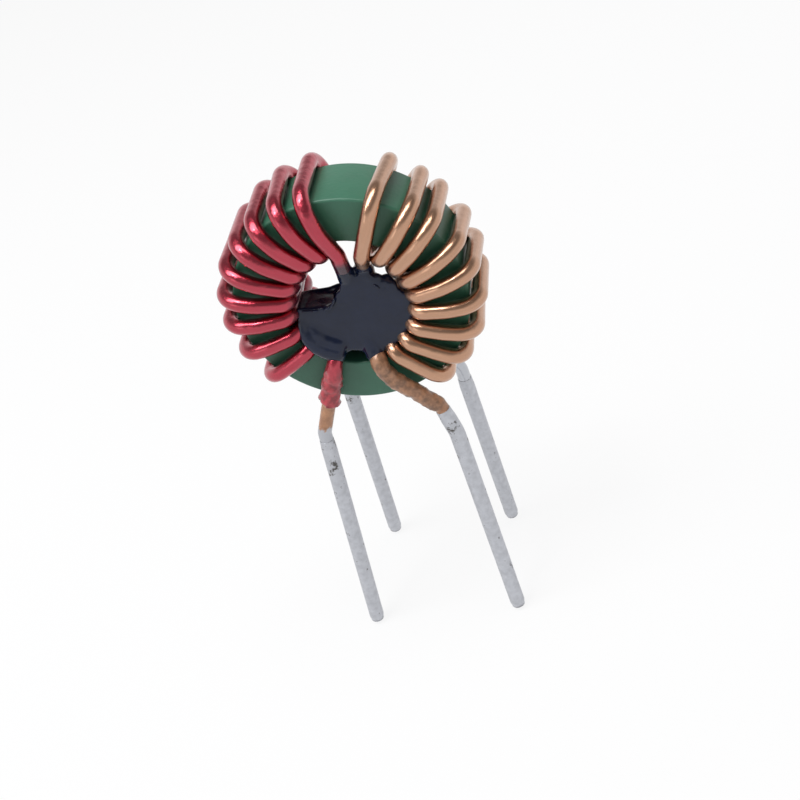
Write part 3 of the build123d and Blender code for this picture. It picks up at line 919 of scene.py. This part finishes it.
def make_floor_material(colour):
    """Matt white paper that the camera and the metal see nearly white."""
    material, tree, paper, _ = start_material("white paper")
    feed(tree, paper, {"Base Color": (*colour, 1), "Roughness": 0.9, "Specular IOR Level": 0.0})
    glow = add(tree, "ShaderNodeEmission", {"Color": WHITE, "Strength": 1.0})
    share = add(tree, "ShaderNodeMath", {0: background_share(tree), 1: PAPER_GLOW}, operation="MULTIPLY")
    both = add(tree, "ShaderNodeMixShader", {0: share.outputs[0], 1: paper.outputs["BSDF"],
                                             2: glow.outputs["Emission"]})
    feed(tree, tree.nodes["Material Output"], {"Surface": both.outputs["Shader"]})
    return material


def light_world():
    """An even dim room whose walls, near the horizon, are the white background."""
    world = bpy.data.worlds.new("studio")
    world.use_nodes = True
    tree = world.node_tree
    fill = tree.nodes["Background"]
    feed(tree, fill, {"Color": WHITE, "Strength": 0.35})
    way = add(tree, "ShaderNodeTexCoord").outputs["Generated"]
    height = add(tree, "ShaderNodeSeparateXYZ", {"Vector": way}).outputs["Z"]
    ceiling = add(tree, "ShaderNodeMapRange", {"Value": height, "From Min": 0.25, "From Max": 0.6,
                                               "To Min": 1.0, "To Max": 0.22})
    walls = add(tree, "ShaderNodeBackground", {"Color": WHITE, "Strength": ceiling.outputs["Result"]})
    both = add(tree, "ShaderNodeMixShader", {0: background_share(tree), 1: fill.outputs["Background"],
                                             2: walls.outputs["Background"]})
    feed(tree, tree.nodes["World Output"], {"Surface": both.outputs["Shader"]})
    return world


def hang_lamp(name, place, size, power):
    """A lamp that faces the part, with its width and its length towards the camera."""
    lamp = bpy.data.lights.new(name, "AREA")
    lamp.shape, lamp.energy = "RECTANGLE", power
    lamp.size, lamp.size_y = size
    holder = bpy.data.objects.new(name, lamp)
    holder.location = place
    holder.rotation_euler = (LAMP_AIM - Vector(place)).to_track_quat("-Z", "Y").to_euler()
    bpy.context.collection.objects.link(holder)


def place_camera():
    """The photograph's camera: 90 mm away, turned a little so that the part leans in the frame."""
    turned, raised, rolled = radians(15.903), radians(37.356), radians(-18.048)
    target, away = Vector((0.579, 0, 21.06)) * MM, 90 * MM
    back = Vector((sin(turned) * cos(raised), -cos(turned) * cos(raised), sin(raised)))
    level = Vector((cos(turned), sin(turned), 0))
    upright = back.cross(level)
    right = level * cos(rolled) + upright * sin(rolled)
    up = upright * cos(rolled) - level * sin(rolled)
    camera = bpy.data.objects.new("camera", bpy.data.cameras.new("camera"))
    camera.data.lens, camera.data.sensor_width = 48.14, 36.0
    camera.data.clip_start, camera.data.clip_end = 0.005, 5.0
    facing = Matrix((right, up, back)).transposed().to_4x4()
    camera.matrix_world = Matrix.Translation(target + back * away) @ facing
    bpy.context.collection.objects.link(camera)
    bpy.context.scene.camera = camera


class BuildStage(bpy.types.Operator):
    """Sets the floor, the light and the camera at the photograph's angle"""
    bl_idname = "inductor.build_stage"
    bl_label = "Stage"

    def execute(self, context):
        stage = context.scene.inductor_stage
        mesh = bpy.data.meshes.new("floor")
        corners = [(x * FLOOR_HALF, y * FLOOR_HALF, 0) for x, y in ((-1, -1), (1, -1), (1, 1), (-1, 1))]
        mesh.from_pydata(corners, [], [(0, 1, 2, 3)])
        floor = bpy.data.objects.new("floor", mesh)
        context.collection.objects.link(floor)
        mesh.materials.append(make_floor_material(stage.floor))
        context.scene.world = light_world()
        for name, (place, size, share) in LAMPS.items():
            hang_lamp(name, place, size, stage.lamp * share)
        place_camera()
        context.scene.view_settings.view_transform = "Standard"
        return {"FINISHED"}


STEPS = {
    "inductor_ring": (InductorRing, BuildRing),
    "inductor_winding": (InductorWinding, BuildWindings),
    "inductor_adhesive": (InductorAdhesive, BuildAdhesive),
    "inductor_leads": (InductorLeads, BuildLeads),
    "inductor_stage": (InductorStage, BuildStage),
}


class InductorPanel(bpy.types.Panel):
    """Lists the inductor's sizes, colours and building steps."""
    bl_idname = "VIEW3D_PT_inductor"
    bl_label = "Inductor"
    bl_space_type = "VIEW_3D"
    bl_region_type = "UI"
    bl_category = "Inductor"

    def draw(self, context):
        for settings, (_, operator) in STEPS.items():
            box = self.layout.box()
            group = getattr(context.scene, settings)
            for name in group.bl_rna.properties.keys():
                if name not in ("rna_type", "name"):
                    box.prop(group, name)
            box.operator(operator.bl_idname)


CLASSES = (*(cls for step in STEPS.values() for cls in step), InductorPanel)


def register():
    for cls in CLASSES:
        bpy.utils.register_class(cls)
    for name, (group, _) in STEPS.items():
        setattr(bpy.types.Scene, name, bpy.props.PointerProperty(type=group))


def unregister():
    for name in STEPS:
        delattr(bpy.types.Scene, name)
    for cls in reversed(CLASSES):
        bpy.utils.unregister_class(cls)


def main():
    register()
    bpy.ops.inductor.build_ring()
    bpy.ops.inductor.build_windings()
    bpy.ops.inductor.build_adhesive()
    bpy.ops.inductor.build_leads()
    bpy.ops.inductor.build_stage()


if __name__ == "__main__":
    main()
